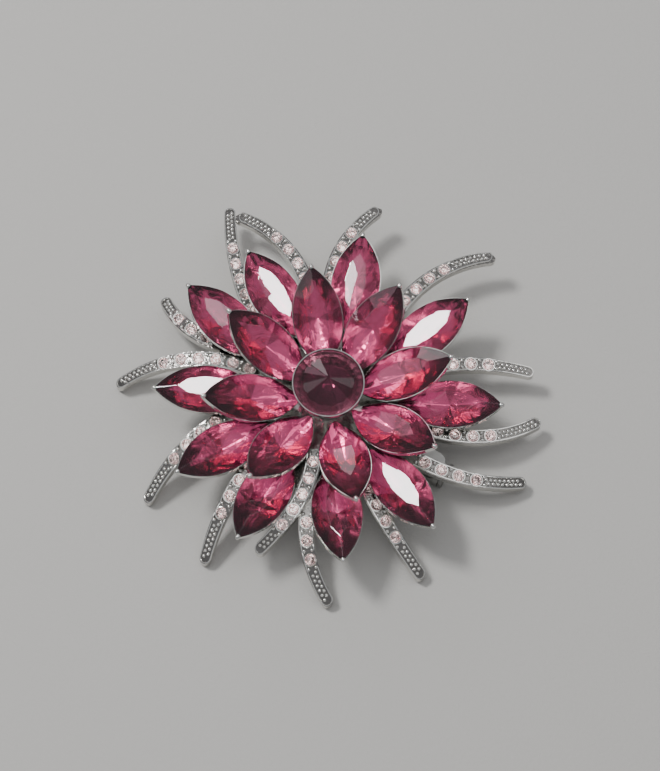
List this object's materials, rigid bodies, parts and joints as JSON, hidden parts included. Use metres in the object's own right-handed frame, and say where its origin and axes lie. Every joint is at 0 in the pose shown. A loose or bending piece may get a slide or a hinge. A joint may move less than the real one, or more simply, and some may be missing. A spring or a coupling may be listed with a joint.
{
  "type": "flower brooch",
  "caption": "Flower brooch with two rings of navette stones, a pointed round centre stone, curved stone-set tendrils, and a hinged needle with a turning safety catch.",
  "frame": {"origin": "on the needle's axis, under the middle of the flower", "axes": "+X along the needle from the hinge to the point, +Z out of the front of the brooch"},
  "size_m": [0.0607, 0.0616, 0.0166],
  "materials": {
    "plated_casting": "bright rhodium-coloured plating over cast zinc alloy",
    "plated_findings": "plated stamped brass findings",
    "steel_needle": "drawn and ground steel wire",
    "ruby_glass": "foil-backed pressed glass",
    "garnet_glass": "foil-backed pressed glass",
    "rose_glass": "foil-backed cut glass chatons"
  },
  "bodies": {
    "brooch": {"outer_cup_01": "plated_casting", "outer_cup_02": "plated_casting", "outer_cup_03": "plated_casting", "outer_cup_04": "plated_casting", "outer_cup_05": "plated_casting", "outer_cup_06": "plated_casting", "outer_cup_07": "plated_casting", "outer_cup_08": "plated_casting", "outer_cup_09": "plated_casting", "outer_cup_10": "plated_casting", "outer_stone_01": "ruby_glass", "outer_stone_02": "ruby_glass", "outer_stone_03": "ruby_glass", "outer_stone_04": "ruby_glass", "outer_stone_05": "ruby_glass", "outer_stone_06": "ruby_glass", "outer_stone_07": "ruby_glass", "outer_stone_08": "ruby_glass", "outer_stone_09": "ruby_glass", "outer_stone_10": "ruby_glass", "inner_cup_1": "plated_casting", "inner_cup_2": "plated_casting", "inner_cup_3": "plated_casting", "inner_cup_4": "plated_casting", "inner_cup_5": "plated_casting", "inner_cup_6": "plated_casting", "inner_cup_7": "plated_casting", "inner_cup_8": "plated_casting", "inner_stone_1": "ruby_glass", "inner_stone_2": "ruby_glass", "inner_stone_3": "ruby_glass", "inner_stone_4": "ruby_glass", "inner_stone_5": "ruby_glass", "inner_stone_6": "ruby_glass", "inner_stone_7": "ruby_glass", "inner_stone_8": "ruby_glass", "centre_cup": "plated_casting", "centre_stone": "garnet_glass", "base_plate": "plated_casting", "tendril_01": "plated_casting", "tendril_02": "plated_casting", "tendril_03": "plated_casting", "tendril_04": "plated_casting", "tendril_05": "plated_casting", "tendril_06": "plated_casting", "tendril_07": "plated_casting", "tendril_08": "plated_casting", "tendril_09": "plated_casting", "tendril_10": "plated_casting", "tendril_11": "plated_casting", "tendril_12": "plated_casting", "tendril_13": "plated_casting", "tendril_14": "plated_casting", "chatons": "rose_glass", "pin_bar": "plated_findings", "hinge_bracket": "plated_findings", "hinge_rivet": "plated_findings", "catch_housing": "plated_findings"},
    "needle": {"needle": "steel_needle"},
    "catch_sleeve": {"catch_sleeve": "plated_findings"}
  },
  "joints": [
    {"name": "needle_hinge", "type": "hinge", "parent": "brooch", "child": "needle", "pos_m": [-0.017, 0, 0], "axis": [0, 1, 0], "range_deg": [0, 80]},
    {"name": "catch_turn", "type": "hinge", "parent": "brooch", "child": "catch_sleeve", "pos_m": [0.018, 0, 0], "axis": [1, 0, 0], "range_deg": [0, 110]}
  ]
}
